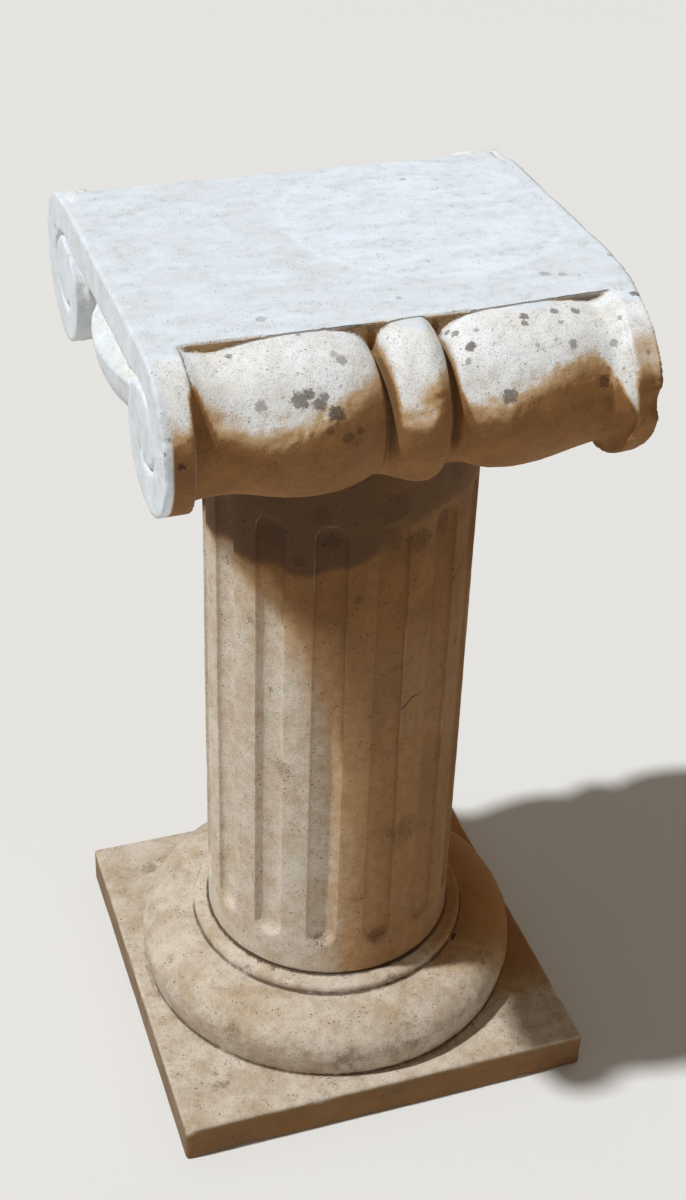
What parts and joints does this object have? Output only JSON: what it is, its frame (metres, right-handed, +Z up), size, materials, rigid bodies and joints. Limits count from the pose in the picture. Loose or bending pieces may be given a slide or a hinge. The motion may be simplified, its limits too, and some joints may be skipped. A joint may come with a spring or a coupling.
{
  "type": "ionic column pedestal",
  "caption": "Short carved limestone column with a scroll capital, fluted round shaft and moulded base on a square plinth.",
  "frame": {"origin": "bottom centre of the bounding box, on the ground under the plinth", "axes": "+Z up along the shaft, -Y towards the front of the picture, which shows one roll of the capital, and +X to the viewer's right, along the rolls"},
  "size_m": [0.3504, 0.366, 0.7017],
  "materials": {
    "capital_stone": "matt, finely pecked and weathered, with brown patina below",
    "shaft_stone": "matt, worn and stained",
    "base_stone": "matt, worn and stained"
  },
  "bodies": {
    "root": {"capital": "capital_stone", "shaft": "shaft_stone", "base": "base_stone"}
  },
  "joints": []
}
